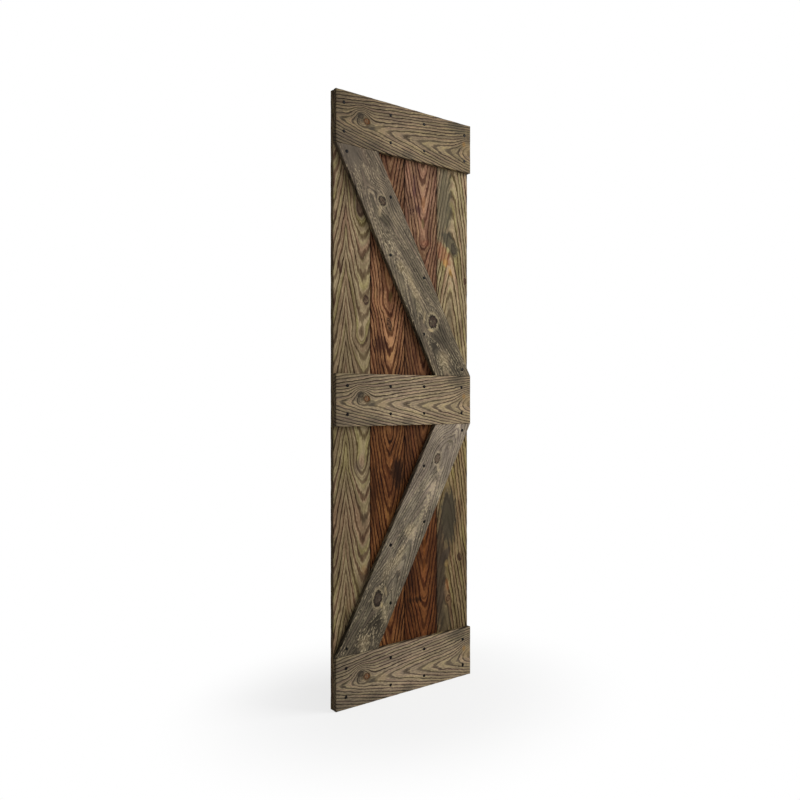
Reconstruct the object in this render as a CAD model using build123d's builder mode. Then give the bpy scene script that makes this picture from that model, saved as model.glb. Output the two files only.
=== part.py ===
from build123d import *
import os
from math import acos, atan2, cos, hypot, sin

# A K-braced barn door leaf, ready to hang. Four upright tongue-and-groove boards are screwed,
# from the front, to three rails and two braces. The braces run from the left ends of the outer
# rails to the right end of the middle rail, so that they and the rails draw a letter K in mirror.
# Millimetres. X runs along the width, Y from the rails' front face back through the boards and
# Z up. The origin is in the middle of the top rail's front face, where hanger straps bolt on.

# Door
DOOR_WIDTH = 609.6
DOOR_HEIGHT = 2133.6

# Upright boards, all of one width, from left to right as seen from the front
BOARD_NAMES = ["left_board", "inner_left_board", "inner_right_board", "right_board"]
BOARD_THICKNESS = 19.05
BOARD_EASING = 2.0
TONGUE_THICKNESS = 6.0
TONGUE_LENGTH = 7.0
TONGUE_SIDE_CLEARANCE = 0.25
TONGUE_END_CLEARANCE = 0.8

# Rails and braces, which lie flat on the boards' front faces
FRAME_THICKNESS = 19.05
FRAME_EASING = 2.0
RAIL_WIDTH = 184.15
BRACE_WIDTH = 152.4

# Countersunk screw holes, drilled through the rails and braces
SCREW_HOLE_RADIUS = 2.25
COUNTERSINK_RADIUS = 4.6
COUNTERSINK_ANGLE = 90
RAIL_SCREW_EDGE_INSET = 42.6
TOP_RAIL_SCREW_END_INSET = 31.5
MIDDLE_RAIL_SCREW_END_INSET = 46.0
BOTTOM_RAIL_SCREW_END_INSET = 40.0
BRACE_SCREW_EDGE_INSET = 26.0
BRACE_END_SCREW_SIDE_INSET = 43.0
BRACE_END_SCREW_RAIL_INSET = 25.0

# Places that follow from these sizes
DOOR_LEFT = -DOOR_WIDTH / 2
DOOR_RIGHT = DOOR_WIDTH / 2
DOOR_BOTTOM = RAIL_WIDTH / 2 - DOOR_HEIGHT
TOP_RAIL_Z = 0
BOTTOM_RAIL_Z = DOOR_BOTTOM + RAIL_WIDTH / 2
MIDDLE_RAIL_Z = (TOP_RAIL_Z + BOTTOM_RAIL_Z) / 2
BOARD_WIDTH = DOOR_WIDTH / len(BOARD_NAMES)
BOARD_MIDDLE_Y = FRAME_THICKNESS + BOARD_THICKNESS / 2
BOARD_CENTRES = [DOOR_LEFT + BOARD_WIDTH * (i + 0.5) for i in range(len(BOARD_NAMES))]
INNER_BOARD_CENTRES = BOARD_CENTRES[1:-1]


def face_arrises(piece):
    """The edges round a flat piece's front and back faces."""
    faces = piece.faces().sort_by(Axis.Y)
    return faces[0].edges() + faces[-1].edges()


def make_board(index):
    """An upright board, with a groove in its left edge and a tongue on its right edge.

    The door's own sides have neither. The chamfered arrises make a V along each joint.
    """
    left_edge = BOARD_CENTRES[index] - BOARD_WIDTH / 2
    right_edge = BOARD_CENTRES[index] + BOARD_WIDTH / 2
    with BuildPart() as board:
        with BuildSketch(Plane.XY.offset(DOOR_BOTTOM)):
            with Locations((BOARD_CENTRES[index], BOARD_MIDDLE_Y)):
                Rectangle(BOARD_WIDTH, BOARD_THICKNESS)
            if index > 0:
                with Locations((left_edge, BOARD_MIDDLE_Y)):
                    Rectangle(
                        TONGUE_LENGTH + TONGUE_END_CLEARANCE,
                        TONGUE_THICKNESS + 2 * TONGUE_SIDE_CLEARANCE,
                        align=(Align.MIN, Align.CENTER),
                        mode=Mode.SUBTRACT,
                    )
            if index < len(BOARD_NAMES) - 1:
                with Locations((right_edge, BOARD_MIDDLE_Y)):
                    Rectangle(TONGUE_LENGTH, TONGUE_THICKNESS, align=(Align.MIN, Align.CENTER))
        extrude(amount=DOOR_HEIGHT)
        chamfer(face_arrises(board), length=BOARD_EASING)
    return board.part


def drill_screw_holes(places):
    """Countersunk holes at these places of the front plane, through the rail or brace."""
    with Locations(*places):
        CounterSinkHole(
            radius=SCREW_HOLE_RADIUS,
            counter_sink_radius=COUNTERSINK_RADIUS,
            depth=FRAME_THICKNESS,
            counter_sink_angle=COUNTERSINK_ANGLE,
        )


def make_rail(rail_z, screw_end_inset):
    """A rail across the whole door, screwed to the middle of each inner board and at its ends."""
    screw_columns = [DOOR_LEFT + screw_end_inset, *INNER_BOARD_CENTRES, DOOR_RIGHT - screw_end_inset]
    screw_row_rise = RAIL_WIDTH / 2 - RAIL_SCREW_EDGE_INSET
    screw_rows = [rail_z + screw_row_rise, rail_z - screw_row_rise]
    with BuildPart(Plane.XZ) as rail:
        with Locations((0, rail_z)):
            Box(
                DOOR_WIDTH,
                RAIL_WIDTH,
                FRAME_THICKNESS,
                align=(Align.CENTER, Align.CENTER, Align.MAX),
            )
        fillet(face_arrises(rail), radius=FRAME_EASING)
        drill_screw_holes([(x, z) for z in screw_rows for x in screw_columns])
    return rail.part


def make_brace(outer_edge_z, middle_edge_z):
    """A brace from an outer rail, at the door's left side, to the middle rail, at its right side.

    Its ends are cut level to seat on the rails, and each of its long edges ends in a corner
    between a rail and the door's side. It has a screw at each end, and a pair on each inner board.
    """
    rise = abs(outer_edge_z - middle_edge_z)
    lean = acos(BRACE_WIDTH / hypot(DOOR_WIDTH, rise)) - atan2(rise, DOOR_WIDTH)
    end_cut = BRACE_WIDTH / cos(lean)
    inward = (middle_edge_z - outer_edge_z) / rise

    half_pair = (BRACE_WIDTH / 2 - BRACE_SCREW_EDGE_INSET) / sin(lean)
    screw_places = [
        (DOOR_LEFT + BRACE_END_SCREW_SIDE_INSET, outer_edge_z + inward * BRACE_END_SCREW_RAIL_INSET),
        (DOOR_RIGHT - BRACE_END_SCREW_SIDE_INSET, middle_edge_z - inward * BRACE_END_SCREW_RAIL_INSET),
    ]
    for x in INNER_BOARD_CENTRES:
        along = (x - DOOR_LEFT - end_cut / 2) / (DOOR_WIDTH - end_cut)
        middle_z = outer_edge_z + along * (middle_edge_z - outer_edge_z)
        screw_places += [(x, middle_z + half_pair), (x, middle_z - half_pair)]

    with BuildPart(Plane.XZ) as brace:
        with BuildSketch(Plane.XZ):
            with BuildLine():
                Polyline(
                    (DOOR_LEFT, outer_edge_z),
                    (DOOR_LEFT + end_cut, outer_edge_z),
                    (DOOR_RIGHT, middle_edge_z),
                    (DOOR_RIGHT - end_cut, middle_edge_z),
                    close=True,
                )
            make_face()
        extrude(amount=-FRAME_THICKNESS)
        fillet(face_arrises(brace), radius=FRAME_EASING)
        drill_screw_holes(screw_places)
    return brace.part


pieces = {name: make_board(index) for index, name in enumerate(BOARD_NAMES)}
pieces["top_rail"] = make_rail(TOP_RAIL_Z, TOP_RAIL_SCREW_END_INSET)
pieces["middle_rail"] = make_rail(MIDDLE_RAIL_Z, MIDDLE_RAIL_SCREW_END_INSET)
pieces["bottom_rail"] = make_rail(BOTTOM_RAIL_Z, BOTTOM_RAIL_SCREW_END_INSET)
pieces["upper_brace"] = make_brace(TOP_RAIL_Z - RAIL_WIDTH / 2, MIDDLE_RAIL_Z + RAIL_WIDTH / 2)
pieces["lower_brace"] = make_brace(BOTTOM_RAIL_Z + RAIL_WIDTH / 2, MIDDLE_RAIL_Z - RAIL_WIDTH / 2)

os.makedirs("parts", exist_ok=True)
for name, piece in pieces.items():
    piece.label = name
    export_step(piece, f"parts/{name}.step")
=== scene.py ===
import math
from dataclasses import dataclass

import bmesh
import bpy
import numpy as np
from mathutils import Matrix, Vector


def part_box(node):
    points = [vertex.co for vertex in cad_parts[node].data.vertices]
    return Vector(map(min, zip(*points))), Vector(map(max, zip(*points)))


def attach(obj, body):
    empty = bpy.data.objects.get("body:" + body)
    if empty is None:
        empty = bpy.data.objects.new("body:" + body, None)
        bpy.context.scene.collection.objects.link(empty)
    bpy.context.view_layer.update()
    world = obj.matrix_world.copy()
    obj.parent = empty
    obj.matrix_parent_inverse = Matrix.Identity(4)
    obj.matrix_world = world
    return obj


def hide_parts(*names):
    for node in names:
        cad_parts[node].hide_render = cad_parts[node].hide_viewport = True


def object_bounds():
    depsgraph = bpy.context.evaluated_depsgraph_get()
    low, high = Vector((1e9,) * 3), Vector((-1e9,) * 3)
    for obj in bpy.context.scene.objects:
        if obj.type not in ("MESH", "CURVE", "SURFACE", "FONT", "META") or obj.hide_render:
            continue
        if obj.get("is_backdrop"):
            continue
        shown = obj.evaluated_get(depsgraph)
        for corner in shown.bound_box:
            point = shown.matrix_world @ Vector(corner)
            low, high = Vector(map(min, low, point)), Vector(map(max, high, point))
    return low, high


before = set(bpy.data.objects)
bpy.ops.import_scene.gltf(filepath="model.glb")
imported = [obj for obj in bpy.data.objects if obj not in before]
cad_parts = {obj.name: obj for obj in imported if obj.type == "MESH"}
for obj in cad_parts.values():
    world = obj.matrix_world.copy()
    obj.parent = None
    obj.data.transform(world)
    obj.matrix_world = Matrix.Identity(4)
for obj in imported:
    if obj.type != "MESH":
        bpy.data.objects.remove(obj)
cad_low, cad_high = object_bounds()

# Left board
# The leaf's left upright, a softwood board stained olive grey and wire brushed, so that the soft early
# wood lies lower than the hard rings. Its right edge carries the tongue of the first joint, and screws
# that come through the rails and braces hold it from the front.


class Field:
    """A value that varies over a piece, held by one socket of a node tree. Operators add Math nodes."""

    def __init__(self, tree, socket=None):
        self.tree = tree
        self.socket = socket

    def node(self, kind, settings=None, sockets=None, output=0):
        """Any node of the same tree, from its settings and its sockets. Gives one of its outputs."""
        made = self.tree.nodes.new(kind)
        for name, value in (settings or {}).items():
            if name == "stops":
                while len(made.color_ramp.elements) < len(value):
                    made.color_ramp.elements.new(1.0)
                for element, (place, colour) in zip(made.color_ramp.elements, value):
                    element.position = place
                    element.color = colour
            else:
                setattr(made, name, value)
        for name, value in (sockets or {}).items():
            if isinstance(value, Field):
                self.tree.links.new(value.socket, made.inputs[name])
            else:
                made.inputs[name].default_value = value
        return Field(self.tree, made.outputs[output] if made.outputs else None)

    def output(self, name):
        """Another output of the node that this field comes from."""
        return Field(self.tree, self.socket.node.outputs[name])

    def math(self, operation, *others):
        return self.node("ShaderNodeMath", {"operation": operation}, dict(enumerate((self, *others))))

    def __add__(self, other):
        return self.math("ADD", other)

    __radd__ = __add__

    def __sub__(self, other):
        return self.math("SUBTRACT", other)

    def __rsub__(self, other):
        return self * -1 + other

    def __mul__(self, other):
        return self.math("MULTIPLY", other)

    __rmul__ = __mul__

    def __truediv__(self, other):
        return self.math("DIVIDE", other)

    def __rtruediv__(self, other):
        return self.math("POWER", -1) * other


@dataclass
class Lay:
    """How a piece lies in the door: the front corner that its grain is measured from, in metres, the way
    its grain runs, the way across its face, and its length, width and thickness in millimetres."""

    corner: tuple
    along: tuple
    across: tuple
    length: float
    width: float
    thickness: float


@dataclass
class Cut:
    """How a piece was sawn from its log, in millimetres. Its rings draw nested Vs round a heart line.

    heart and drift place that line, roundness blunts the tips, taper is how far a V opens along the
    grain and spacing is what a year's growth takes up. sway and ripple bend the rings. At a mirror seam,
    where there is one, the figure turns round and runs the other way."""

    heart: float
    roundness: float
    taper: float
    spacing: float
    sway: float
    ripple: float
    seed: float
    drift: float = 0.0
    mirror_seam: float = None


@dataclass
class Spot:
    """An oval place on a face, in millimetres: where it is, its half sizes and its lean in degrees.

    colour and strength stain it, with a crisp or a soft edge. bow bends the rings round it, turn slants
    them across it, calm fades them out in it, and flecks scatters short pale fibres in it."""

    along: float
    across: float
    half_length: float
    half_width: float
    colour: tuple = (128, 128, 128)
    strength: float = 0.0
    bow: float = 0.0
    turn: float = 0.0
    lean: float = 0.0
    calm: float = 0.0
    flecks: float = 0.0
    crisp: float = 0.0


@dataclass
class Knot:
    """Where a branch was cut through: its place, half sizes and lean as for a spot, and the colours of
    its core, of the bark line round it and of the wood outside that.

    part is how far the grain parts to pass it, and firm is how strongly it shows."""

    along: float
    across: float
    half_length: float
    half_width: float
    core: tuple
    bark: tuple
    halo: tuple
    lean: float = 0.0
    part: float = 0.6
    firm: float = 1.0


@dataclass
class Finish:
    """A stain on brushed wood: its tones from dark to light and how they are tinted along the grain.

    The rest is how strongly rings, cloudy patches, pink and olive hues and pale flecks show in it, and
    how much darker its edges and the lines along its joints are."""

    tones: list
    fade: list
    rings: float
    patches: float
    hues: float
    flecks: float = 0.0
    fleck_colour: tuple = (182, 165, 134)
    edges: float = 0.0
    joints: float = 0.0


@dataclass
class Cloud:
    """A kind of cloudy noise: the size of one cloud along, across and below a face, what it adds to a
    piece's seed, and how much detail it has."""

    along: float
    across: float
    depth: float
    shift: float = 0
    detail: float = 2.0


MM_PER_M = 1000


def mixed(red, green, blue):
    """A colour as it is mixed for the screen, from 0 to 255, as the linear light that a shader takes."""
    shares = [value / 255 for value in (red, green, blue)]
    linear = [s / 12.92 if s <= 0.04045 else ((s + 0.055) / 1.055) ** 2.4 for s in shares]
    return (*linear, 1.0)


def smooth(value, low, high):
    """0 below low and 1 above high, with a soft step between them."""
    return value.node(
        "ShaderNodeMapRange",
        {"interpolation_type": "SMOOTHSTEP"},
        {"Value": value, "From Min": low, "From Max": high},
    )


def cloud(kind, seed, along, across, depth):
    """Cloudy noise about 0.5, over three fields."""
    shift = seed + kind.shift
    sockets = {0: along / kind.along + shift, 1: across / kind.across + shift, 2: depth / kind.depth}
    place = along.node("ShaderNodeCombineXYZ", {}, sockets)
    return place.node("ShaderNodeTexNoise", {}, {"Vector": place, "Scale": 1.0, "Detail": kind.detail})


def blend(share, first, second, way="MIX"):
    """One colour over another."""
    settings = {"data_type": "RGBA", "blend_type": way}
    return first.node("ShaderNodeMix", settings, {0: share, 6: first, 7: second}, 2)


def ramp(field, stops):
    """The colour that a field picks between stops, each with its place from 0 to 1."""
    return field.node("ShaderNodeValToRGB", {"stops": stops}, {"Fac": field})


def measures(position, lay):
    """How far a point lies along, across and below a piece's face, in millimetres."""
    settings = {"operation": "SUBTRACT"}
    offset = position.node("ShaderNodeVectorMath", settings, {0: position, 1: lay.corner})
    dot = {"operation": "DOT_PRODUCT"}
    return [
        offset.node("ShaderNodeVectorMath", dot, {0: offset, 1: axis}, "Value") * MM_PER_M
        for axis in (lay.along, lay.across, (0, 1, 0))
    ]


def oval(along, across, spot, reach=1.0):
    """The squared distance from a spot's middle, counted so that it is 1 on the spot's edge."""
    turn = math.radians(spot.lean)
    far_along = along - spot.along
    far_across = across - spot.across
    if spot.lean:
        turned = far_along * math.cos(turn) + far_across * math.sin(turn)
        far_across = far_across * math.cos(turn) - far_along * math.sin(turn)
        far_along = turned
    far_along = far_along / (spot.half_length * reach)
    far_across = far_across / (spot.half_width * reach)
    return far_along * far_along + far_across * far_across


def bell(squared):
    """A soft hill, 1 in the middle of a spot and fading out round it."""
    return (squared * -1).math("EXPONENT")


def ring_count(along, across, depth, cut, marks):
    """How many rings lie between a point and the heart, and how far off the heart line the point is."""
    SWAY = Cloud(310, 120, 80)
    RIPPLE = Cloud(75, 24, 24, shift=5)
    BOW_REACH, PART_REACH = 1.8, 2.1
    HILL_OFF_HEART = 50
    SEAM_HALF, SEAM_POWER = 50, 0.8
    across_grain = across
    for mark in marks:
        if isinstance(mark, Knot):
            parted = bell(oval(along, across, mark, PART_REACH)) * mark.part
            across_grain = across_grain - (across - mark.across) * parted
    if cut.mirror_seam is not None:
        off_seam = (across_grain - cut.mirror_seam).math("ABSOLUTE") / SEAM_HALF
        across_grain = off_seam.math("POWER", SEAM_POWER) * SEAM_HALF + cut.mirror_seam
    sway = cloud(SWAY, cut.seed, along, across_grain, depth) - 0.5
    ripple = cloud(RIPPLE, cut.seed, along, across_grain, depth) - 0.5
    off_heart = across_grain - cut.heart - along * cut.drift + sway * cut.sway
    below = depth + cut.roundness
    radius = (off_heart * off_heart + below * below).math("SQRT")
    rings = radius - along * cut.taper + ripple * cut.ripple
    for mark in marks:
        if isinstance(mark, Spot) and mark.bow:
            hill = bell(oval(along, across, mark, BOW_REACH))
            rings = rings - hill * mark.bow
            off_heart = off_heart + hill * HILL_OFF_HEART
        if isinstance(mark, Spot) and mark.turn:
            rings = rings - bell(oval(along, across, mark)) * (along - mark.along) * mark.turn
    return rings / cut.spacing, off_heart


def ring_tone(rings, off_heart, at, seed):
    """The rings with feathered edges, from 0 in soft, dark wood to 1 in hard, pale wood.

    A year's growth makes a dark line on the flanks of a V, with a pale band beside it that is a painted
    highlight of the brushed ridge, and a broad tongue on its heart line."""
    PLACES = (0.0, 0.1, 0.3, 0.45, 0.58, 0.7, 0.8, 0.9, 1.0)
    GRAIN_AND_RIDGE_HIGHLIGHT_TONES = (0.55, 0.05, 0.05, 0.8, 1.0, 0.58, 0.62, 1.0, 0.55)
    HEART_HALF = 24
    FEATHER = Cloud(22, 4.6, 4.6, shift=7, detail=1.0)
    FLANK_FEATHER, HEART_FEATHER = 0.24, 0.3
    TONGUE_LAG, TONGUE_STEP = 0.3, (-0.85, 0.1)
    TONGUE_DARK, TONGUE_RANGE, TONGUE_SHARE = 0.42, 0.56, 0.7
    near_heart = bell(off_heart * off_heart / HEART_HALF**2)
    feather = cloud(FEATHER, seed, *at) - 0.5
    combed = rings + feather * (near_heart * HEART_FEATHER + FLANK_FEATHER)
    # The pale bands beside the dark lines are painted highlight of the brushed ridges.
    stops = [(place, (tone, tone, tone, 1.0)) for place, tone in zip(PLACES, GRAIN_AND_RIDGE_HIGHLIGHT_TONES)]
    line = ramp(combed.math("FRACT"), stops)
    wave = ((combed + TONGUE_LAG) * math.tau).math("COSINE")
    tongue = smooth(wave, *TONGUE_STEP) * TONGUE_RANGE + TONGUE_DARK
    return line + (tongue - line) * near_heart * TONGUE_SHARE


def knot_reach(along, across, knot, seed):
    """How far a point lies from a knot's middle, counted so that it is 1 on the knot's ragged edge."""
    KNOT_EDGE, KNOT_RAGGED = Cloud(9, 9, 9, shift=53), 0.7
    ragged = (cloud(KNOT_EDGE, seed, along, across, across) - 0.5) * KNOT_RAGGED
    return oval(along, across, knot).math("SQRT") + ragged


def flat_section(lay, easing, round_steps, tongue=0.0, groove=0.0):
    """The points round a piece's section, across and below its face, with eased arrises."""
    FACE_STEP, BACK_STEP = 2.2, 4.4
    HALF_TONGUE, HALF_GROOVE = 3.0, 3.25
    SIDE_SHARES = (0.25, 0.5, 0.75)
    corner = [math.pi / 2 * step / round_steps for step in range(round_steps + 1)]
    width, thickness = lay.width, lay.thickness
    middle, flat = thickness / 2, thickness - 2 * easing
    face = np.linspace(easing, width - easing, round(width / FACE_STEP))[1:-1]
    back = np.linspace(width - easing, easing, round(width / BACK_STEP))[1:-1]
    points = [(easing - easing * math.cos(a), easing - easing * math.sin(a)) for a in corner]
    points += [(x, 0.0) for x in face]
    points += [(width - easing + easing * math.sin(a), easing - easing * math.cos(a)) for a in corner]
    if tongue:
        low, high = middle - HALF_TONGUE, middle + HALF_TONGUE
        points += [(width, low), (width + tongue, low), (width + tongue, high), (width, high)]
    else:
        points += [(width, easing + flat * share) for share in SIDE_SHARES]
    under = thickness - easing
    points += [(width - easing + easing * math.cos(a), under + easing * math.sin(a)) for a in corner]
    points += [(x, thickness) for x in back]
    points += [(easing - easing * math.sin(a), under + easing * math.cos(a)) for a in corner]
    if groove:
        low, high = middle - HALF_GROOVE, middle + HALF_GROOVE
        points += [(0.0, high), (groove, high), (groove, low), (0.0, low)]
    else:
        points += [(0.0, easing + flat * share) for share in SIDE_SHARES[::-1]]
    return np.array(points)


def sawn_mesh(name, lay, section, easing, grain_step, slant=0.0):
    """A piece's section carried along its grain into a closed mesh, with eased end arrises.

    slant is how far along the grain the end cuts move for each millimetre across it. The map OFBake
    unrolls the long faces and sets the two ends beside them, and arris marks the edges that wear."""
    END_STEPS = (0.0, 0.3, 0.65)
    eased = easing * np.array(END_STEPS)
    steps = round((lay.length - 2 * easing) / grain_step)
    middle = np.linspace(easing, lay.length - easing, steps + 1)
    stations = np.concatenate([eased, middle, lay.length - eased[::-1]])
    near_end = np.minimum(stations, lay.length - stations)
    inset = easing - np.sqrt(easing**2 - np.clip(easing - near_end, 0, easing) ** 2)

    across = np.broadcast_to(section[:, 0], (len(stations), len(section)))
    depth = np.clip(section[:, 1], inset[:, None], lay.thickness - inset[:, None])
    along = stations[:, None] + slant * across
    axes = np.array([lay.along, lay.across, (0, 1, 0)], float)
    places = np.stack([along, across, depth], -1) @ axes / MM_PER_M + np.array(lay.corner)

    rows, points = along.shape
    index = np.arange(rows * points).reshape(rows, points)
    turned = np.roll(index, -1, 1)
    quads = np.stack([index[:-1], turned[:-1], turned[1:], index[1:]], -1).reshape(-1, 4)
    ends = [index[0][::-1].tolist(), index[-1].tolist()]
    mesh = bpy.data.meshes.new(name)
    mesh.from_pydata(places.reshape(-1, 3).tolist(), [], quads.tolist() + ends)

    LONG_SHARE, LONG_MARGIN = 0.94, 0.002
    END_MARGIN, END_LENGTH, END_SHARE = 0.01, 0.96, 0.022
    FIRST_END, LAST_END = 0.946, 0.974
    edge = np.linalg.norm(np.roll(section, -1, 0) - section, axis=1)
    round_it = np.concatenate([[0], np.cumsum(edge)]) / edge.sum() * LONG_SHARE
    u = LONG_MARGIN + (1 - 2 * LONG_MARGIN) * stations / lay.length
    low_u, low_v = np.meshgrid(u[:-1], round_it[:-1], indexing="ij")
    high_u, high_v = np.meshgrid(u[1:], round_it[1:], indexing="ij")
    long_uv = np.stack([low_u, low_v, low_u, high_v, high_u, high_v, high_u, low_v], -1).reshape(-1, 2)
    end_u = END_MARGIN + END_LENGTH * section[:, 0] / section[:, 0].max()
    end_v = section[:, 1] / lay.thickness * END_SHARE
    first_uv = np.stack([end_u, FIRST_END + end_v], -1)[::-1]
    last_uv = np.stack([end_u, LAST_END + end_v], -1)
    uv = mesh.uv_layers.new(name="OFBake")
    uv.data.foreach_set("uv", np.concatenate([long_uv, first_uv, last_uv]).astype(np.float32).ravel())

    ARRIS_REACH = 3.5
    off_side = np.abs(np.minimum(across, lay.width - across))
    off_face = np.minimum(depth, lay.thickness - depth)
    off_end = np.broadcast_to(near_end[:, None], across.shape)
    second_nearest = np.sort(np.stack([off_side, off_face, off_end]), 0)[1]
    worn = np.exp(-((second_nearest / ARRIS_REACH) ** 2))
    arris = mesh.attributes.new("arris", "FLOAT", "POINT")
    arris.data.foreach_set("value", worn.astype(np.float32).ravel())

    shell = bmesh.new()
    shell.from_mesh(mesh)
    bmesh.ops.recalc_face_normals(shell, faces=shell.faces)
    shell.to_mesh(mesh)
    shell.free()
    return mesh


def shaping_tree(name, inputs):
    """Empty Geometry Nodes with these named inputs, each with its kind of socket, and one output."""
    tree = bpy.data.node_groups.new(name, "GeometryNodeTree")
    for label, kind in inputs.items():
        tree.interface.new_socket(label, in_out="INPUT", socket_type=f"NodeSocket{kind}")
    tree.interface.new_socket("Shaped", in_out="OUTPUT", socket_type="NodeSocketGeometry")
    return tree


def brush_tree(name, lay, cut, marks, material):
    """Geometry Nodes that brush a piece: soft wood, fibres and worn arrises sink below its surface."""
    DEPTHS = ("Brushing Depth", "Fibre Depth", "Arris Wear")
    FIBRES, FIBRE_STEP = Cloud(40, 3.4, 3.4, shift=11), (0.5, 0.72)
    RUBS, RUB_STEP = Cloud(45, 30, 30, shift=17), (0.42, 0.72)
    KNOT_RIM = (0.85, 1.0)
    tree = shaping_tree(name, {"Piece": "Geometry", **dict.fromkeys(DEPTHS, "Float")})
    start = Field(tree)
    sawn = start.node("NodeGroupInput", {}, {}, "Piece")
    brushing, fibres, wear = [sawn.output(label) for label in DEPTHS]
    position = start.node("GeometryNodeInputPosition")
    along, across, depth = at = measures(position, lay)
    rings, off_heart = ring_count(*at, cut, marks)
    soft = 1 - ring_tone(rings, off_heart, at, cut.seed)
    for mark in marks:
        if isinstance(mark, Knot):
            soft = soft * smooth(knot_reach(along, across, mark, cut.seed), *KNOT_RIM)
    fibre = smooth(cloud(FIBRES, cut.seed, *at), *FIBRE_STEP)
    arris = start.node("GeometryNodeInputNamedAttribute", {"data_type": "FLOAT"}, {"Name": "arris"})
    rub = smooth(cloud(RUBS, cut.seed, *at), *RUB_STEP)
    sunk = soft * brushing + fibre * fibres + arris * rub * wear
    normal = start.node("GeometryNodeInputNormal")
    scaled = {0: normal, "Scale": sunk * (-1 / MM_PER_M)}
    inward = normal.node("ShaderNodeVectorMath", {"operation": "SCALE"}, scaled)
    brushed = start.node("GeometryNodeSetPosition", {}, {"Geometry": sawn, "Offset": inward})
    whole = start.node("GeometryNodeRealizeInstances", {}, {"Geometry": brushed})
    finished = start.node("GeometryNodeSetMaterial", {}, {"Geometry": whole, "Material": material})
    start.node("NodeGroupOutput", {}, {0: finished})
    return tree


def set_inputs(modifier, values):
    """Sets a Geometry Nodes modifier's named inputs, each by its socket's identifier."""
    for item in modifier.node_group.interface.items_tree:
        if item.in_out == "INPUT" and item.name in values:
            modifier[item.identifier] = values[item.name]


def placed(name, data):
    """A new object of the scene, at the origin."""
    thing = bpy.data.objects.new(name, data)
    bpy.context.scene.collection.objects.link(thing)
    return thing


def made_plain(piece):
    """Turns what a piece's modifiers make into its own plain mesh, smooth but for its arrises."""
    SHARP_BEYOND = math.radians(38)
    graph = bpy.context.evaluated_depsgraph_get()
    shown = piece.evaluated_get(graph)
    piece.data = bpy.data.meshes.new_from_object(shown, preserve_all_data_layers=True, depsgraph=graph)
    piece.modifiers.clear()
    piece.data.shade_smooth()
    piece.data.set_sharp_from_angle(angle=SHARP_BEYOND)
    return piece


def bare_tree(block):
    """Empties the node tree of a material or of the world, and gives a start for its nodes."""
    block.use_nodes = True
    block.node_tree.nodes.clear()
    return Field(block.node_tree)


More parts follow.
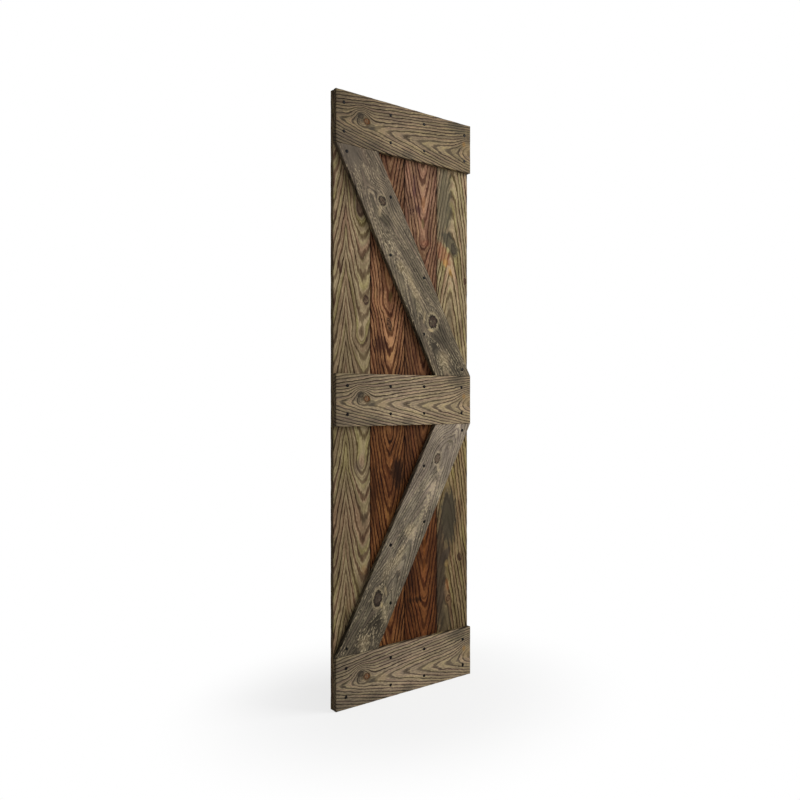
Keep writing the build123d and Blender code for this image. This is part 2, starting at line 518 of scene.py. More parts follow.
def stained_wood(name, lay, cut, marks, finish):
    """Brushed, stained wood: rings pick its tone, stains and knots lie over them, its sides carry painted
    shade.
    """
    material = bpy.data.materials.new(name)
    start = bare_tree(material)
    position = start.node("ShaderNodeTexCoord", {}, {}, "Object")
    along, across, depth = at = measures(position, lay)
    rings, off_heart = ring_count(*at, cut, marks)
    spots = [mark for mark in marks if isinstance(mark, Spot)]
    knots = [mark for mark in marks if isinstance(mark, Knot)]

    BOLDNESS, BOLD_STEP = Cloud(190, 1.3, 40, shift=23), (0.28, 0.62)
    LEAST_BOLD, BOLD_RANGE = 0.64, 0.5
    PATCHES = Cloud(110, 34, 30, shift=31, detail=3.0)
    FIBRES, FIBRE_SHARE = Cloud(30, 4.4, 4.4, shift=11), 0.4
    GRAIN, GRAIN_SHARE = Cloud(9, 3, 3, shift=71), 0.5
    ring = ring_tone(rings, off_heart, at, cut.seed)
    bold = smooth(cloud(BOLDNESS, cut.seed, along, rings, depth), *BOLD_STEP)
    figure = (ring - 0.5) * (bold * BOLD_RANGE + LEAST_BOLD) * finish.rings
    for spot in spots:
        if spot.calm:
            figure = figure * (1 - bell(oval(along, across, spot)) * spot.calm)
    patch = cloud(PATCHES, cut.seed, *at) - 0.5
    fibre = cloud(FIBRES, cut.seed, *at) - 0.5
    grain = cloud(GRAIN, cut.seed, *at) - 0.5
    tone = figure + patch * finish.patches + fibre * FIBRE_SHARE + grain * GRAIN_SHARE + 0.5
    last = len(finish.tones) - 1
    stops = [(share / last, mixed(*colour)) for share, colour in enumerate(finish.tones)]
    colour = ramp(tone, stops)

    HUE_BANDS = Cloud(260, 1 / 1.2, 40, shift=67)
    PINK, PLAIN, OLIVE = (1.11, 0.94, 0.99, 1.0), (1.0, 1.0, 1.0, 1.0), (0.97, 1.03, 0.78, 1.0)
    HUES = [(0.32, PINK), (0.5, PLAIN), (0.68, OLIVE)]
    tints = [(place, (*tint, 1.0)) for place, tint in finish.fade]
    colour = blend(1.0, colour, ramp(along / lay.length, tints), "MULTIPLY")
    hue = ramp(cloud(HUE_BANDS, cut.seed, along, rings, depth), HUES)
    colour = blend(finish.hues, colour, hue, "MULTIPLY")

    STAIN_WOBBLE, WOBBLE_SHARE = Cloud(26, 14, 14, shift=37), 1.6
    STAIN_EDGE, STAIN_SOFTNESS, CRISP_STEADIES = 0.85, 0.65, 0.75
    STAIN_DARK, STAIN_RANGE, STAIN_DEPTHS = 0.55, 0.9, (9, 4)
    FLECKS, FLECK_STEP = Cloud(12, 4.4, 4.4, shift=43, detail=1.0), (0.5, 0.6)
    FLECK_BANDS, FLECK_BAND_STEP = Cloud(130, 0.7, 40, shift=47), (0.5, 0.62)
    MOST_FLECKS = 0.9
    wobble = (cloud(STAIN_WOBBLE, cut.seed, *at) - 0.5) * WOBBLE_SHARE
    shade = tone * STAIN_RANGE + STAIN_DARK
    front = smooth(depth, *STAIN_DEPTHS)
    fleck_place = cloud(FLECKS, cut.seed, *at)
    fleck_bands = cloud(FLECK_BANDS, cut.seed, along, rings, depth)
    fleck_share = smooth(fleck_bands, *FLECK_BAND_STEP) * finish.flecks
    for spot in spots:
        if spot.strength:
            scaled = {0: mixed(*spot.colour)[:3], "Scale": shade}
            shaded = shade.node("ShaderNodeVectorMath", {"operation": "SCALE"}, scaled)
            softness = STAIN_SOFTNESS * (1 - spot.crisp)
            ragged = oval(along, across, spot) + (wobble + figure) * (1 - CRISP_STEADIES * spot.crisp)
            share = smooth(ragged, STAIN_EDGE + softness, STAIN_EDGE - softness) * front * spot.strength
            colour = blend(share, colour, shaded)
        if spot.flecks:
            fleck_share = fleck_share + bell(oval(along, across, spot)) * spot.flecks
    flecks = smooth(fleck_place, *FLECK_STEP) * fleck_share.math("MINIMUM", MOST_FLECKS)
    colour = blend(flecks, colour, mixed(*finish.fleck_colour))

    GRIT, GRIT_STEP, GRIT_SHARE = Cloud(7, 5, 5, shift=59), (0.45, 0.75), 0.7
    PROFILE_REACH = 1.7
    grit = smooth(cloud(GRIT, cut.seed, *at), *GRIT_STEP)
    for knot in knots:
        core, bark, halo = mixed(*knot.core)[:3], mixed(*knot.bark)[:3], mixed(*knot.halo)[:3]
        profile = [
            (0.0, (*bark, 0.9)),
            (0.09, (*core, 0.95)),
            (0.2, (*bark, 0.5)),
            (0.3, (*core, 0.95)),
            (0.42, (*bark, 1.0)),
            (0.55, (*bark, 0.9)),
            (0.63, (*halo, 0.8)),
            (0.72, (*halo, 0.4)),
            (0.9, (*halo, 0.0)),
        ]
        reach = knot_reach(along, across, knot, cut.seed) / PROFILE_REACH
        layer = ramp(reach, profile)
        layer_share = layer.output("Alpha") * knot.firm * (1 - grit * GRIT_SHARE)
        colour = blend(layer_share, colour, layer)

    # One dark colour stains the boards' edges and also paints shade on the sides.
    EDGE_STAIN_AND_SIDE_SHADE, EDGE_STEP = (0.5, 0.47, 0.42, 1.0), (9, 0)
    JOINT_STAIN, JOINT_STEP = (0.3, 0.27, 0.24, 1.0), (3.4, 1.2)
    SIDE_SHADE_STEP = (0.6, 2.6)
    off_side = (across - lay.width / 2).math("ABSOLUTE") * -1 + lay.width / 2
    colour = blend(smooth(off_side, *EDGE_STEP) * finish.edges, colour, EDGE_STAIN_AND_SIDE_SHADE, "MULTIPLY")
    colour = blend(smooth(off_side, *JOINT_STEP) * finish.joints, colour, JOINT_STAIN, "MULTIPLY")
    # Painted shade: the sides and ends of every piece are darkened, whichever way they face.
    side = smooth(depth, *SIDE_SHADE_STEP) * smooth(lay.thickness - depth, *SIDE_SHADE_STEP)
    colour = blend(side, colour, EDGE_STAIN_AND_SIDE_SHADE, "MULTIPLY")

    ROUGHNESS, FIBRE_ROUGHNESS, RING_GLOSS = 0.76, 0.2, 0.08
    RING_BUMP, BUMP_STRENGTH, BUMP_DISTANCE = 0.4, 0.3, 0.001
    rough = fibre * FIBRE_ROUGHNESS + ring * -RING_GLOSS + ROUGHNESS
    relief = {"Height": fibre + ring * RING_BUMP, "Strength": BUMP_STRENGTH, "Distance": BUMP_DISTANCE}
    bumps = start.node("ShaderNodeBump", {}, relief)
    surface = {"Base Color": colour, "Roughness": rough, "Normal": bumps, "Specular IOR Level": 0.06}
    wood = start.node("ShaderNodeBsdfPrincipled", {}, surface)
    start.node("ShaderNodeOutputMaterial", {}, {"Surface": wood})
    return material


def brushed_piece(name, mesh, lay, cut, marks, material):
    """A sawn mesh after brushing, as an object of the scene with a plain mesh."""
    piece = placed(name, mesh)
    brush = piece.modifiers.new("brushing", "NODES")
    brush.node_group = brush_tree(f"{name}_brushing", lay, cut, marks, material)
    set_inputs(brush, {"Brushing Depth": 0.45, "Fibre Depth": 0.15, "Arris Wear": 0.5})
    return made_plain(piece)


BOARD_EASING = 2.0
BOARD_CORNER_STEPS = 2
BOARD_GRAIN_STEP = 7.0
TONGUE_LENGTH = 7.0
GROOVE_DEPTH = 7.8


def upright_board(node, cut, marks, finish, tongue=0.0, groove=0.0):
    """An upright board in the place of its CAD node, brushed and stained."""
    low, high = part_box(node)
    size = (high - low) * MM_PER_M
    lay = Lay((low.x, low.y, low.z), (0, 0, 1), (1, 0, 0), size.z, size.x - tongue, size.y)
    section = flat_section(lay, BOARD_EASING, BOARD_CORNER_STEPS, tongue, groove)
    mesh = sawn_mesh(f"{node}_brushed", lay, section, BOARD_EASING, BOARD_GRAIN_STEP)
    wood = stained_wood(f"{node}_wood", lay, cut, marks, finish)
    return brushed_piece(f"{node}_brushed", mesh, lay, cut, marks, wood)


left_cut = Cut(
    heart=118, roundness=18, taper=0.19, spacing=13.5, sway=16, ripple=11, seed=3.1, mirror_seam=51
)
left_marks = [
    Knot(1421, 135, 19, 12, (66, 46, 37), (54, 39, 31), (116, 98, 72), part=0.4),
    Spot(1526, 26, 28, 8, (60, 36, 28), 0.85, lean=-14),
    Spot(1706, 9, 22, 9, (62, 36, 28), 0.75),
    Spot(1408, 4, 40, 6, (70, 44, 32), 0.6),
    Spot(1735, 104, 26, 20, (84, 66, 60), 0.5, bow=16),
    Spot(1290, 104, 20, 22, (130, 110, 82), 0.3, bow=14),
    Spot(832, 104, 26, 20, (80, 64, 56), 0.5, bow=16),
    Spot(640, 130, 34, 16, (74, 62, 46), 0.65),
    Spot(470, 126, 20, 14, (128, 92, 56), 0.4),
    Spot(350, 70, 30, 22, (104, 76, 52), 0.4, bow=6),
]
left_finish = Finish(
    tones=[(52, 37, 28), (90, 72, 53), (115, 98, 74), (137, 120, 92), (172, 154, 120)],
    fade=[
        (0.1, (0.8, 0.79, 0.75)),
        (0.45, (0.85, 0.85, 0.83)),
        (0.8, (1, 1, 1)),
        (1.0, (0.86, 0.87, 0.9)),
    ],
    rings=0.78,
    patches=0.9,
    edges=0.2,
    joints=0.2,
    hues=1.0,
)
left_board = upright_board("left_board", left_cut, left_marks, left_finish, tongue=TONGUE_LENGTH)
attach(left_board, "root")
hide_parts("left_board")

# Inner left board
# An upright of the same softwood in a red-brown stain that pooled in the soft wood and round the knots.
# Its groove takes the left board's tongue, and its own tongue goes into the next board.

inner_left_cut = Cut(heart=86, roundness=17, taper=0.18, spacing=13, sway=16, ripple=10, seed=11.7)
inner_left_marks = [
    Spot(1520, 80, 44, 14, (140, 100, 62), 0.45, calm=0.3),
    Spot(1420, 40, 20, 26, (126, 84, 56), 0.3, bow=12),
    Knot(1340, 84, 26, 10, (48, 30, 18), (36, 20, 12), (120, 84, 54), lean=-14, part=0.5),
    Spot(1440, 90, 24, 9, (104, 84, 46), 0.5),
    Spot(1264, 46, 34, 40, (46, 20, 12), 0.75, lean=20),
    Spot(940, 95, 20, 22, (112, 70, 40), 0.35, bow=9),
    Spot(838, 92, 30, 8, (150, 92, 46), 0.45, flecks=0.3),
    Spot(800, 120, 62, 30, (28, 13, 5), 0.9, calm=0.6),
    Spot(720, 14, 130, 14, (46, 26, 10), 0.5, calm=0.3),
]
inner_left_finish = Finish(
    tones=[(24, 9, 3), (68, 37, 20), (99, 63, 41), (126, 87, 60), (176, 132, 92)],
    fade=[
        (0.15, (0.58, 0.47, 0.33)),
        (0.42, (0.54, 0.43, 0.29)),
        (0.6, (0.97, 0.96, 0.96)),
        (0.9, (0.68, 0.72, 0.8)),
    ],
    rings=0.86,
    patches=1.0,
    fleck_colour=(176, 130, 92),
    edges=0.5,
    joints=0.9,
    hues=0.6,
)
inner_left_board = upright_board(
    "inner_left_board", inner_left_cut, inner_left_marks, inner_left_finish, TONGUE_LENGTH, GROOVE_DEPTH
)
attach(inner_left_board, "root")
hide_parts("inner_left_board")

# Inner right board
# The second red-brown upright. It is darker towards its foot, where it is nearly chestnut, and the tongue
# and groove along its edges are the same as its neighbour's.

inner_right_cut = Cut(
    heart=92, roundness=16, taper=0.18, spacing=13.5, sway=16, ripple=10, seed=23.9, drift=-0.004
)
inner_right_marks = [
    Spot(1850, 45, 50, 8, (88, 56, 58), 0.5),
    Spot(1775, 62, 22, 16, (58, 32, 34), 0.7, lean=-30),
    Spot(1765, 30, 26, 18, (54, 28, 24), 0.7, flecks=0.4),
    Spot(1800, 88, 36, 9, (164, 116, 78), 0.5),
    Spot(1724, 84, 24, 8, (112, 98, 60), 0.5),
    Spot(1655, 96, 14, 26, (112, 62, 44), 0.4, bow=10),
    Spot(520, 92, 40, 7, (126, 74, 30), 0.5),
    Spot(440, 92, 30, 7, (120, 70, 28), 0.4),
    Spot(325, 46, 12, 46, (20, 8, 2), 0.7, bow=4),
    Spot(420, 22, 170, 22, (28, 11, 3), 0.55),
    Spot(330, 146, 150, 9, (34, 13, 4), 0.6),
]
inner_right_finish = Finish(
    tones=[(38, 17, 10), (86, 56, 42), (110, 81, 63), (132, 101, 79), (180, 144, 114)],
    fade=[
        (0.14, (0.4, 0.24, 0.12)),
        (0.42, (0.42, 0.28, 0.16)),
        (0.62, (0.52, 0.42, 0.32)),
        (0.82, (0.84, 0.8, 0.78)),
    ],
    rings=0.86,
    patches=1.0,
    fleck_colour=(180, 140, 110),
    edges=0.5,
    joints=0.9,
    hues=0.6,
)
inner_right_board = upright_board(
    "inner_right_board",
    inner_right_cut,
    inner_right_marks,
    inner_right_finish,
    TONGUE_LENGTH,
    GROOVE_DEPTH,
)
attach(inner_right_board, "root")
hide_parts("inner_right_board")

# Right board
# The leaf's right upright, olive grey like the left one but turned end for end, so that its V figure
# points up. It has a groove on the left, a plain right edge and a smooth, dark strip beside the joint.

right_cut = Cut(
    heart=30, roundness=17, taper=-0.18, spacing=14, sway=12, ripple=10, seed=37.3, drift=0.0236
)
right_marks = [
    Spot(1830, 34, 190, 38, (90, 83, 67), 0.75, calm=0.4),
    Spot(1760, 60, 84, 16, (76, 70, 56), 0.6),
    Spot(1890, 66, 34, 13, (88, 81, 62), 0.4),
    Spot(1624, 28, 60, 30, (138, 80, 56), 0.55, lean=-45, crisp=0.3),
    Spot(1668, 67, 60, 25, (72, 66, 53), 0.85, lean=-45, calm=0.2, crisp=0.7),
    Spot(1592, 42, 18, 12, (170, 126, 70), 0.6, crisp=0.4),
    Spot(1560, 66, 22, 10, (168, 128, 66), 0.6, lean=-20),
    Knot(1646, 82, 28, 13, (62, 54, 45), (54, 46, 38), (110, 100, 74), lean=-12, part=0.5, firm=0.85),
    Knot(1530, 140, 13, 8, (70, 46, 36), (60, 38, 30), (130, 112, 82), part=0.4),
    Spot(1400, 60, 70, 14, (92, 84, 66), 0.4, calm=0.4),
    Spot(618, 56, 122, 44, (58, 52, 41), 0.92, calm=0.75, crisp=0.5),
    Spot(470, 40, 40, 22, (56, 48, 42), 0.75, calm=0.5, lean=30, crisp=0.3),
    Spot(400, 16, 230, 30, (58, 48, 38), 0.85, calm=0.6, crisp=0.3),
    Spot(226, 42, 64, 30, (66, 57, 43), 0.6, calm=0.4, crisp=0.3),
    Knot(457, 112, 17, 11, (66, 42, 31), (50, 33, 25), (112, 92, 62), lean=-15, part=0.4, firm=0.9),
    Knot(306, 55, 14, 10, (84, 52, 34), (54, 36, 26), (124, 96, 64), lean=20, part=0.5, firm=0.85),
    Spot(360, 50, 26, 10, (140, 92, 54), 0.55),
    Spot(440, 46, 14, 10, (146, 120, 76), 0.5),
]
right_finish = Finish(
    tones=[(60, 46, 30), (98, 80, 57), (122, 105, 79), (143, 126, 96), (180, 164, 126)],
    fade=[
        (0.15, (0.56, 0.52, 0.46)),
        (0.42, (0.77, 0.71, 0.61)),
        (0.6, (0.89, 0.87, 0.85)),
        (0.8, (0.94, 0.93, 0.92)),
    ],
    rings=1.02,
    patches=0.9,
    edges=0.2,
    joints=0.2,
    hues=1.0,
)
right_board = upright_board("right_board", right_cut, right_marks, right_finish, groove=GROOVE_DEPTH)
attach(right_board, "root")
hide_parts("right_board")

# Rails
# Three level boards across the uprights at the top, the middle and the bottom, sawn from one log, so
# that their knots and pointed figure are nearly alike. Each is countersunk for eight screws.

FRAME_EASING = 2.0
FRAME_CORNER_STEPS = 4
FRAME_GRAIN_STEP = 5.0
COUNTERSINK_RADIUS = 4.6
RAIL_SCREW_EDGE_INSET = 42.6
INNER_BOARD_CENTRES = [228.6, 381.0]


def screw_stain_and_shade(along, across):
    """A dark stain round a black screw's head, with painted shade in its countersink."""
    HALF_SIZE, STAIN_AND_SHADE_DARK = 6.8, (13, 11, 9)
    return Spot(along, across, HALF_SIZE, HALF_SIZE, STAIN_AND_SHADE_DARK, 1.0, crisp=0.85)


def countersink(piece, places):
    """Cuts the cones that screw heads sit in, at these places of the front face, in metres."""
    PROUD, DEEP, SEGMENTS = 0.6, 2.4, 28
    CORNER_U, CORNER_V, MAP_SCALE, MAP_PITCH = 0.985, 0.945, 0.4, 0.02
    cutter = bmesh.new()
    uv = cutter.loops.layers.uv.new("OFBake")
    for x, z in places:
        bmesh.ops.create_cone(
            cutter,
            cap_ends=True,
            segments=SEGMENTS,
            radius1=(COUNTERSINK_RADIUS + PROUD) / MM_PER_M,
            radius2=(COUNTERSINK_RADIUS - DEEP) / MM_PER_M,
            depth=(PROUD + DEEP) / MM_PER_M,
        )
        for vertex in cutter.verts[-2 * SEGMENTS :]:
            local = vertex.co.copy()
            vertex.co = (x + local.x, local.z + (DEEP - PROUD) / 2 / MM_PER_M, z + local.y)
    bmesh.ops.recalc_face_normals(cutter, faces=cutter.faces)
    for face in cutter.faces:
        for loop in face.loops:
            x, y = loop.vert.co.xy
            loop[uv].uv = (CORNER_U + MAP_SCALE * (x % MAP_PITCH), CORNER_V + MAP_SCALE * y)
    mesh = bpy.data.meshes.new("countersinks")
    cutter.to_mesh(mesh)
    cutter.free()
    cones = placed("countersinks", mesh)
    cut = piece.modifiers.new("countersinks", "BOOLEAN")
    cut.operation = "DIFFERENCE"
    cut.solver = "MANIFOLD"
    cut.object = cones
    made_plain(piece)
    bpy.data.objects.remove(cones)


def frame_board(node, lay, cut, marks, finish, places, slant=0.0):
    """A rail or a brace in the place of its CAD node, brushed, stained and countersunk for its screws."""
    front_y = lay.corner[1]
    offsets = [(np.array((x, front_y, z)) - lay.corner) * MM_PER_M for x, z in places]
    # Each screw gets a dark spot: a stain round its head and painted shade in its countersink.
    screw_stains_and_shades = [screw_stain_and_shade(offset @ lay.along, offset @ lay.across) for offset in offsets]
    wood = stained_wood(f"{node}_wood", lay, cut, marks + screw_stains_and_shades, finish)
    section = flat_section(lay, FRAME_EASING, FRAME_CORNER_STEPS)
    mesh = sawn_mesh(f"{node}_brushed", lay, section, FRAME_EASING, FRAME_GRAIN_STEP, slant)
    board = brushed_piece(f"{node}_brushed", mesh, lay, cut, marks, wood)
    countersink(board, places)
    return board


rail_cut = Cut(
    heart=88, roundness=16, taper=0.155, spacing=10.5, sway=12, ripple=9, seed=51.2, drift=-0.045
)
rail_marks = [
    Spot(104, 108, 17, 17, (62, 55, 46), 0.6, bow=28),
    Spot(102, 96, 24, 20, (66, 59, 49), 0.7),
    Knot(100, 110, 13, 10, (66, 58, 48), (42, 36, 29), (104, 93, 74), part=0.5, firm=0.75),
    Spot(150, 80, 18, 16, (72, 66, 55), 0.65),
    Knot(126, 96, 14, 13, (122, 74, 34), (66, 44, 26), (112, 96, 70), part=0.6, firm=0.9),
    Spot(606, 98, 28, 22, bow=32),
    Spot(592, 88, 28, 24, (150, 130, 94), 0.55, calm=0.5),
    Spot(576, 106, 9, 11, (146, 110, 62), 0.6, crisp=0.3),
    Spot(545, 162, 64, 24, (66, 61, 50), 0.65),
    Spot(190, 77, 30, 16, (150, 132, 97), 0.4),
    Spot(428, 72, 80, 24, (104, 92, 72), 0.5),
    Spot(145, 20, 44, 17, (76, 70, 59), 0.5),
    Spot(308, 16, 40, 15, (78, 72, 60), 0.5),
    Spot(16, 92, 26, 30, (80, 70, 58), 0.4),
    Spot(40, 30, 60, 40, (98, 88, 76), 0.3),
]
rail_screw_end_insets = {"top_rail": 31.5, "middle_rail": 46.0, "bottom_rail": 40.0}
rail_tones = {
    "top_rail": [(40, 32, 22), (82, 69, 52), (108, 94, 74), (134, 117, 90), (180, 158, 114)],
    "middle_rail": [(48, 39, 28), (93, 79, 61), (121, 106, 85), (148, 130, 101), (192, 170, 126)],
    "bottom_rail": [(46, 38, 28), (91, 78, 62), (118, 104, 84), (143, 126, 99), (186, 165, 124)],
}
rail_fades = {
    "top_rail": [(0.0, (0.62, 0.62, 0.66)), (0.4, (0.97, 0.97, 1.08)), (1.0, (0.86, 0.85, 0.88))],
    "middle_rail": [(0.0, (0.66, 0.66, 0.7)), (0.4, (0.99, 1, 1.12)), (1.0, (0.93, 0.92, 0.98))],
    "bottom_rail": [(0.0, (0.68, 0.7, 0.76)), (0.4, (1.02, 1.02, 1.15)), (1.0, (0.92, 0.92, 0.98))],
}
screw_places = []
for node, end_inset in rail_screw_end_insets.items():
    low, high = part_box(node)
    size = (high - low) * MM_PER_M
    rail_lay = Lay((low.x, low.y, low.z), (1, 0, 0), (0, 0, 1), size.x, size.z, size.y)
    rail_finish = Finish(rail_tones[node], rail_fades[node], rings=0.84, patches=0.55, hues=0.5)
    rows = [RAIL_SCREW_EDGE_INSET, size.z - RAIL_SCREW_EDGE_INSET]
    columns = [end_inset, *INNER_BOARD_CENTRES, size.x - end_inset]
    places = [(low.x + column / MM_PER_M, low.z + row / MM_PER_M) for row in rows for column in columns]
    screw_places += places
    rail = frame_board(node, rail_lay, rail_cut, rail_marks, rail_finish, places)
    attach(rail, "root")
    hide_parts(node)

# Braces
# Two slanting boards from the left ends of the outer rails to the right end of the middle rail, in a
# greyer, smoother wood with a few round knots. Their ends are cut level and seat on the rails, and six
# screws hold each of them.

BRACE_WIDTH = 152.4
BRACE_SCREW_EDGE_INSET = 26.0
BRACE_END_SCREW_SIDE_INSET = 43.0
BRACE_END_SCREW_RAIL_INSET = 25.0

brace_cuts = {
    node: Cut(heart, roundness=18, taper=0.15, spacing=9.5, sway=18, ripple=9, seed=seed)
    for node, heart, seed in (("upper_brace", 50, 64.4), ("lower_brace", 100, 79.6))
}
brace_marks = {
    "upper_brace": [
        Spot(50, 40, 74, 46, (92, 83, 72), 0.8, calm=0.85),
        Spot(186, 98, 36, 44, turn=0.8),
        Spot(130, 80, 50, 16, (126, 112, 94), 0.3, lean=35),
        Spot(309, 66, 30, 20, (66, 60, 48), 0.75),
        Spot(793, 54, 38, 32, (62, 56, 46), 0.9, calm=0.7),
        Spot(120, 110, 60, 24, (84, 76, 64), 0.4),
        Spot(268, 60, 24, 8, (158, 140, 108), 0.5, lean=-38, flecks=0.5),
        Spot(363, 28, 90, 18, (130, 117, 94), 0.15, flecks=0.6),
        Spot(480, 46, 26, 16, (150, 132, 100), 0.5, flecks=0.8),
        Spot(567, 62, 70, 14, (146, 129, 98), 0.45, flecks=0.7),
        Spot(868, 60, 32, 26, (140, 124, 94), 0.35, flecks=0.7),
        Spot(744, 62, 15, 6, (178, 158, 118), 0.7, lean=50, crisp=0.3),
        Spot(690, 56, 24, 6, (160, 142, 108), 0.6, lean=-38, crisp=0.3),
        Knot(244, 85, 20, 16, (86, 66, 53), (44, 37, 31), (150, 135, 108), part=0.9),
        Knot(719, 86, 27, 22, (74, 55, 46), (36, 30, 25), (166, 150, 118), lean=-25, part=0.9),
    ],
    "lower_brace": [
        Spot(166, 88, 34, 18, (80, 73, 62), 0.7),
        Spot(758, 112, 50, 38, (58, 52, 42), 0.9, calm=0.7),
        Spot(0, 62, 80, 46, turn=0.5),
        Spot(50, 96, 60, 26, calm=0.5),
        Spot(136, 90, 22, 8, (172, 154, 126), 0.5, lean=38, flecks=0.5),
        Spot(210, 103, 70, 16, (138, 125, 104), 0.15, flecks=0.6),
        Spot(316, 108, 70, 15, (136, 123, 100), 0.2, flecks=0.7),
        Spot(396, 84, 28, 26, (152, 136, 106), 0.5, flecks=0.8),
        Spot(496, 80, 50, 16, (144, 128, 98), 0.4, flecks=0.7),
        Spot(556, 56, 44, 18, (134, 119, 92), 0.35, flecks=0.6),
        Spot(700, 118, 40, 12, (150, 136, 106), 0.4, flecks=0.7, lean=35),
        Spot(818, 84, 30, 26, (128, 113, 86), 0.4, flecks=0.7),
        Spot(678, 92, 12, 5, (178, 158, 112), 0.7, lean=30, crisp=0.3),
        Spot(628, 84, 22, 6, (160, 142, 108), 0.6, lean=40, crisp=0.3),
        Knot(108, 69, 23, 14, (104, 84, 67), (60, 52, 42), (170, 154, 128), lean=8, part=0.9),
        Knot(664, 66, 30, 19, (68, 52, 44), (34, 28, 23), (160, 144, 114), lean=20, part=0.9),
    ],
}
brace_fades = {
    "upper_brace": [
        (0.0, (0.85, 0.81, 0.83)),
        (0.28, (0.78, 0.76, 0.8)),
        (0.5, (0.85, 0.84, 0.85)),
        (1.0, (0.52, 0.52, 0.51)),
    ],
    "lower_brace": [
        (0.0, (0.94, 0.94, 1.0)),
        (0.28, (0.73, 0.74, 0.77)),
        (0.5, (0.65, 0.67, 0.68)),
        (0.72, (0.45, 0.46, 0.45)),
        (1.0, (0.25, 0.25, 0.24)),
    ],
}
brace_tones = {
    "upper_brace": [(46, 41, 33), (84, 76, 63), (108, 98, 82), (130, 117, 97), (178, 160, 128)],
    "lower_brace": [(56, 50, 41), (98, 88, 74), (124, 112, 96), (148, 134, 114), (194, 177, 148)],
}

for node, starts_at_left in (("upper_brace", True), ("lower_brace", False)):
    low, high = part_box(node)
    door_width, thickness, rise = (high - low) * MM_PER_M
    lean = math.acos(BRACE_WIDTH / math.hypot(door_width, rise)) - math.atan2(rise, door_width)
    end_cut = BRACE_WIDTH / math.cos(lean)
    way = 1 if starts_at_left else -1
    top_left_x = low.x if starts_at_left else high.x - end_cut / MM_PER_M
    brace_lay = Lay(
        (top_left_x, low.y, high.z),
        (way * math.sin(lean), 0, -math.cos(lean)),
        (math.cos(lean), 0, way * math.sin(lean)),
        rise / math.cos(lean),
        BRACE_WIDTH,
        thickness,
    )
    half_pair = (BRACE_WIDTH / 2 - BRACE_SCREW_EDGE_INSET) / math.sin(lean)
    outer_z, middle_z, inward = (high.z, low.z, -1) if starts_at_left else (low.z, high.z, 1)
    side, rail_gap = BRACE_END_SCREW_SIDE_INSET / MM_PER_M, BRACE_END_SCREW_RAIL_INSET / MM_PER_M
    places = [(low.x + side, outer_z + inward * rail_gap), (high.x - side, middle_z - inward * rail_gap)]
    for column in INNER_BOARD_CENTRES:
        share = (column - end_cut / 2) / (door_width - end_cut)
        axis_z = outer_z + share * (middle_z - outer_z)
        places += [(low.x + column / MM_PER_M, axis_z + step * half_pair / MM_PER_M) for step in (1, -1)]
    screw_places += places
    brace_finish = Finish(
        brace_tones[node], brace_fades[node], rings=0.57, patches=1.2, hues=0.4, flecks=0.6
    )
    cut, marks, slant = brace_cuts[node], brace_marks[node], way * math.tan(lean)
    brace = frame_board(node, brace_lay, cut, marks, brace_finish, places, slant)
    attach(brace, "root")
    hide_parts(node)

# Screws
# Thirty-six black-oxide wood screws with raised countersunk heads and a cross recess. They hold the
# rails and braces to the boards, each turned as far as it went, with its crown level with the wood.

SCREW_HEAD_RADIUS = COUNTERSINK_RADIUS
SCREW_CROWN = 0.3
SCREW_SINK = 0.1
SCREW_RIM_TAPER = 0.1
SCREW_RIM_DEPTH = 1.0
SCREW_SHANK_RADIUS = 2.0
SCREW_HEAD_DEPTH = 2.2
CROSS_ARM = 2.1
CROSS_HALF_WIDTH = 0.55
CROSS_DEPTH = 0.9
CROSS_SLOPE = 0.6
OXIDE_GRAIN = 900.0
SCREW_SEED = 7

black_oxide = bpy.data.materials.new("black_oxide")
oxide = bare_tree(black_oxide)
oxide_place = oxide.node("ShaderNodeTexCoord", {}, {}, "Object")
oxide_noise = {"Vector": oxide_place, "Scale": OXIDE_GRAIN, "Detail": 3.0}
oxide_grain = oxide.node("ShaderNodeTexNoise", {}, oxide_noise)
oxide_colour = ramp(oxide_grain, [(0.3, mixed(4, 4, 4)), (0.7, mixed(12, 12, 12))])
oxide_rough = oxide_grain * 0.2 + 0.2
oxide_surface = {"Base Color": oxide_colour, "Roughness": oxide_rough, "Specular IOR Level": 0.07}
oxide_shader = oxide.node("ShaderNodeBsdfPrincipled", {}, oxide_surface)
oxide.node("ShaderNodeOutputMaterial", {}, {"Surface": oxide_shader})


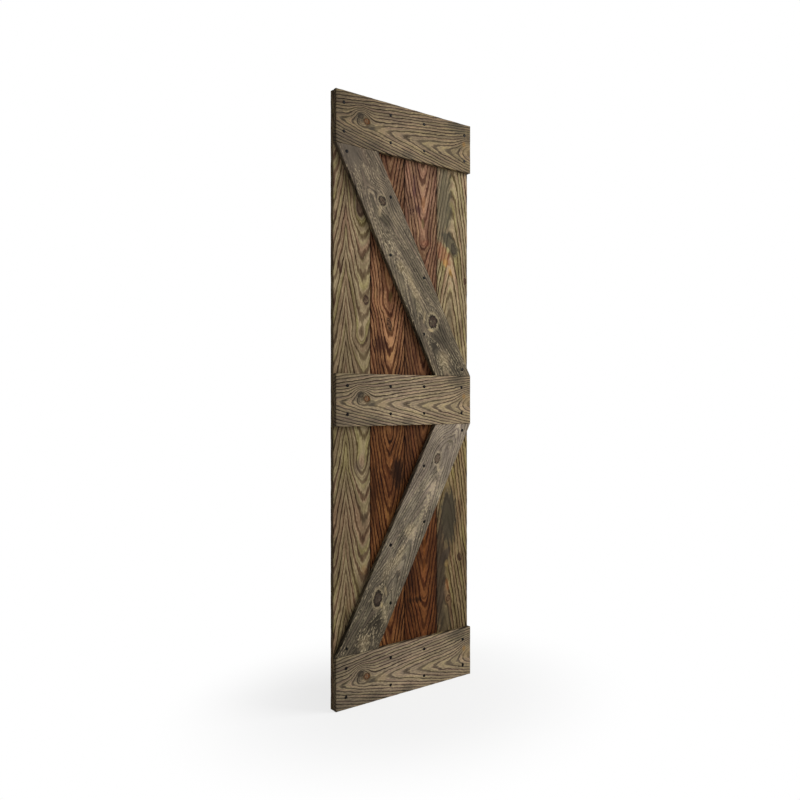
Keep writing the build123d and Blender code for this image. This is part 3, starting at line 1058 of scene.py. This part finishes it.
def screw_head():
    """One head, crown towards -Y with its top at the origin, as a closed mesh."""
    SIDES = 32
    RADII = [0.35, 0.75, 1.15, 1.55, 1.95, 2.3, 2.8, 3.4, 4.0, SCREW_HEAD_RADIUS]
    head = bmesh.new()

    def crown_point(radius, angle):
        x, z = radius * math.cos(angle), radius * math.sin(angle)
        depth = SCREW_CROWN * (radius / SCREW_HEAD_RADIUS) ** 2
        arm, width = max(abs(x), abs(z)), min(abs(x), abs(z))
        if arm < CROSS_ARM and width < CROSS_HALF_WIDTH:
            depth += CROSS_DEPTH * (1 - arm / CROSS_ARM * CROSS_SLOPE)
        return head.verts.new((x / MM_PER_M, depth / MM_PER_M, z / MM_PER_M))

    def under_point(radius, depth, angle):
        x, z = radius * math.cos(angle), radius * math.sin(angle)
        return head.verts.new((x / MM_PER_M, depth / MM_PER_M, z / MM_PER_M))

    angles = [math.tau * side / SIDES for side in range(SIDES)]
    loops = [[crown_point(radius, angle) for angle in angles] for radius in RADII]
    rim = (SCREW_HEAD_RADIUS - SCREW_RIM_TAPER, SCREW_RIM_DEPTH)
    for radius, depth in (rim, (SCREW_SHANK_RADIUS, SCREW_HEAD_DEPTH)):
        loops.append([under_point(radius, depth, angle) for angle in angles])
    head.faces.new(loops[0])
    head.faces.new(loops[-1])
    for inner, outer in zip(loops, loops[1:]):
        for i in range(SIDES):
            j = (i + 1) % SIDES
            head.faces.new((inner[i], inner[j], outer[j], outer[i]))
    bmesh.ops.recalc_face_normals(head, faces=head.faces)
    mesh = bpy.data.meshes.new("screw_head")
    head.to_mesh(mesh)
    head.free()
    return placed("screw_head", mesh)


screw_inputs = {"Places": "Geometry", "Head": "Object", "Most Turn": "Float", "Seed": "Int"}
screw_tree = shaping_tree("driven_screws", screw_inputs)
drive = Field(screw_tree)
drive_places = drive.node("NodeGroupInput", {}, {}, "Places")
drive_object = {"Object": drive_places.output("Head")}
drive_head = drive.node("GeometryNodeObjectInfo", {}, drive_object, "Geometry")
drive_range = {3: drive_places.output("Most Turn"), "Seed": drive_places.output("Seed")}
drive_turn = drive.node("FunctionNodeRandomValue", {"data_type": "FLOAT"}, drive_range, 1)
drive_rotation = drive.node("ShaderNodeCombineXYZ", {}, {1: drive_turn})
drive_points = {"Points": drive_places, "Instance": drive_head, "Rotation": drive_rotation}
drive_screws = drive.node("GeometryNodeInstanceOnPoints", {}, drive_points)
drive_whole = drive.node("GeometryNodeRealizeInstances", {}, {"Geometry": drive_screws})
drive_finished = drive.node(
    "GeometryNodeSetMaterial", {}, {"Geometry": drive_whole, "Material": black_oxide}
)
drive.node("NodeGroupOutput", {}, {0: drive_finished})

crown_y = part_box("top_rail")[0].y + SCREW_SINK / MM_PER_M
places_mesh = bpy.data.meshes.new("black_screws")
places_mesh.from_pydata([(x, crown_y, z) for x, z in screw_places], [], [])
screws = placed("black_screws", places_mesh)
head_shape = screw_head()
driven = screws.modifiers.new("driven", "NODES")
driven.node_group = screw_tree
set_inputs(driven, {"Head": head_shape, "Most Turn": math.pi / 2, "Seed": SCREW_SEED})
made_plain(screws)
bpy.data.objects.remove(head_shape)
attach(screws, "root")

# Floor and backdrop
# A plain pale floor under the leaf. It is white to the camera but for the soft shadow near the leaf's
# foot, and the world round it is white too.

FLOOR_HALF = 9.0
FLOOR_GAP = 0.0005
SHADOW_SHAPE = (0.8, 1, 0)
SHADOW_STEP, SHADOW_SHARE = (0.25, 0.75), 0.25
WORLD_FILL = 0.34


def seen(start):
    """1 for what the camera sees, also mirrored or through glass, and 0 for light on a piece."""
    ray = start.node("ShaderNodeLightPath", {}, {}, "Is Camera Ray")
    rays = ray + ray.output("Is Glossy Ray") + ray.output("Is Transmission Ray")
    return rays.math("MINIMUM", 1.0)


floor_mesh = bpy.data.meshes.new("floor")
floor_z = cad_low.z - FLOOR_GAP
floor_ways = ((-1, -1), (1, -1), (1, 1), (-1, 1))
floor_corners = [(x * FLOOR_HALF, y * FLOOR_HALF, floor_z) for x, y in floor_ways]
floor_mesh.from_pydata(floor_corners, [], [(0, 1, 2, 3)])
floor = placed("floor", floor_mesh)
pale_floor = bpy.data.materials.new("pale_floor")
ground = bare_tree(pale_floor)
ground_place = ground.node("ShaderNodeTexCoord", {}, {}, "Object")
ground_shape = {0: ground_place, 1: SHADOW_SHAPE}
ground_flat = ground.node("ShaderNodeVectorMath", {"operation": "MULTIPLY"}, ground_shape)
ground_far = ground.node("ShaderNodeVectorMath", {"operation": "LENGTH"}, {0: ground_flat}, "Value")
white = ground.node("ShaderNodeEmission", {}, {"Color": (1, 1, 1, 1), "Strength": 1.0})
matt = ground.node("ShaderNodeBsdfDiffuse", {}, {"Color": mixed(244, 244, 244)})
whiter = (smooth(ground_far, *SHADOW_STEP) * SHADOW_SHARE + (1 - SHADOW_SHARE)) * seen(ground)
ground_mix = ground.node("ShaderNodeMixShader", {}, {0: whiter, 1: matt, 2: white})
ground.node("ShaderNodeOutputMaterial", {}, {"Surface": ground_mix})
floor_mesh.materials.append(pale_floor)
floor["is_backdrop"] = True

world = bpy.data.worlds.new("white_studio")
studio = bare_tree(world)
bpy.context.scene.world = world
backdrop = studio.node("ShaderNodeBackground", {}, {"Color": (1, 1, 1, 1), "Strength": 1.0})
fill = studio.node("ShaderNodeBackground", {}, {"Color": (1, 1, 1, 1), "Strength": WORLD_FILL})
studio_mix = studio.node("ShaderNodeMixShader", {}, {0: seen(studio), 1: fill, 2: backdrop})
studio.node("ShaderNodeOutputWorld", {}, {"Surface": studio_mix})

# Light
# One large soft lamp in front and to the right, above the leaf's middle, so that edges that face left
# are in the dark. With the world's fill it lights the front so that colours look as they are mixed.

KEY_DISTANCE = 6.0
KEY_AZIMUTH = math.radians(54)
KEY_ELEVATION = math.radians(24)
KEY_POWER = 313.0
KEY_WIDTH, KEY_HEIGHT = 3.4, 4.0

leaf_middle = (cad_low + cad_high) / 2
key_data = bpy.data.lights.new("key_lamp", "AREA")
key_data.shape = "RECTANGLE"
key_data.size = KEY_WIDTH
key_data.size_y = KEY_HEIGHT
key_data.energy = KEY_POWER
key_lamp = placed("key_lamp", key_data)
key_lamp.location = (
    leaf_middle.x + KEY_DISTANCE * math.sin(KEY_AZIMUTH) * math.cos(KEY_ELEVATION),
    leaf_middle.y - KEY_DISTANCE * math.cos(KEY_AZIMUTH) * math.cos(KEY_ELEVATION),
    leaf_middle.z + KEY_DISTANCE * math.sin(KEY_ELEVATION),
)
key_lamp.rotation_euler = (math.pi / 2 - KEY_ELEVATION, 0, KEY_AZIMUTH)

# Camera
# Level with the middle of the leaf, in front of it and to its left, so that the leaf's left edge is
# nearest and its upright lines stay upright.

CAMERA_PLACE = (-1.6127, -2.16785, -0.97473)
CAMERA_TURN = math.radians(-36.047)
CAMERA_LENS = 33.26
CAMERA_SENSOR = 36.0

camera_data = bpy.data.cameras.new("camera")
camera_data.lens = CAMERA_LENS
camera_data.sensor_width = CAMERA_SENSOR
camera = placed("camera", camera_data)
camera.location = CAMERA_PLACE
camera.rotation_euler = (math.pi / 2, 0, CAMERA_TURN)
bpy.context.scene.camera = camera
bpy.context.scene.view_settings.view_transform = "Standard"

bpy.context.view_layer.update()
low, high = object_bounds()
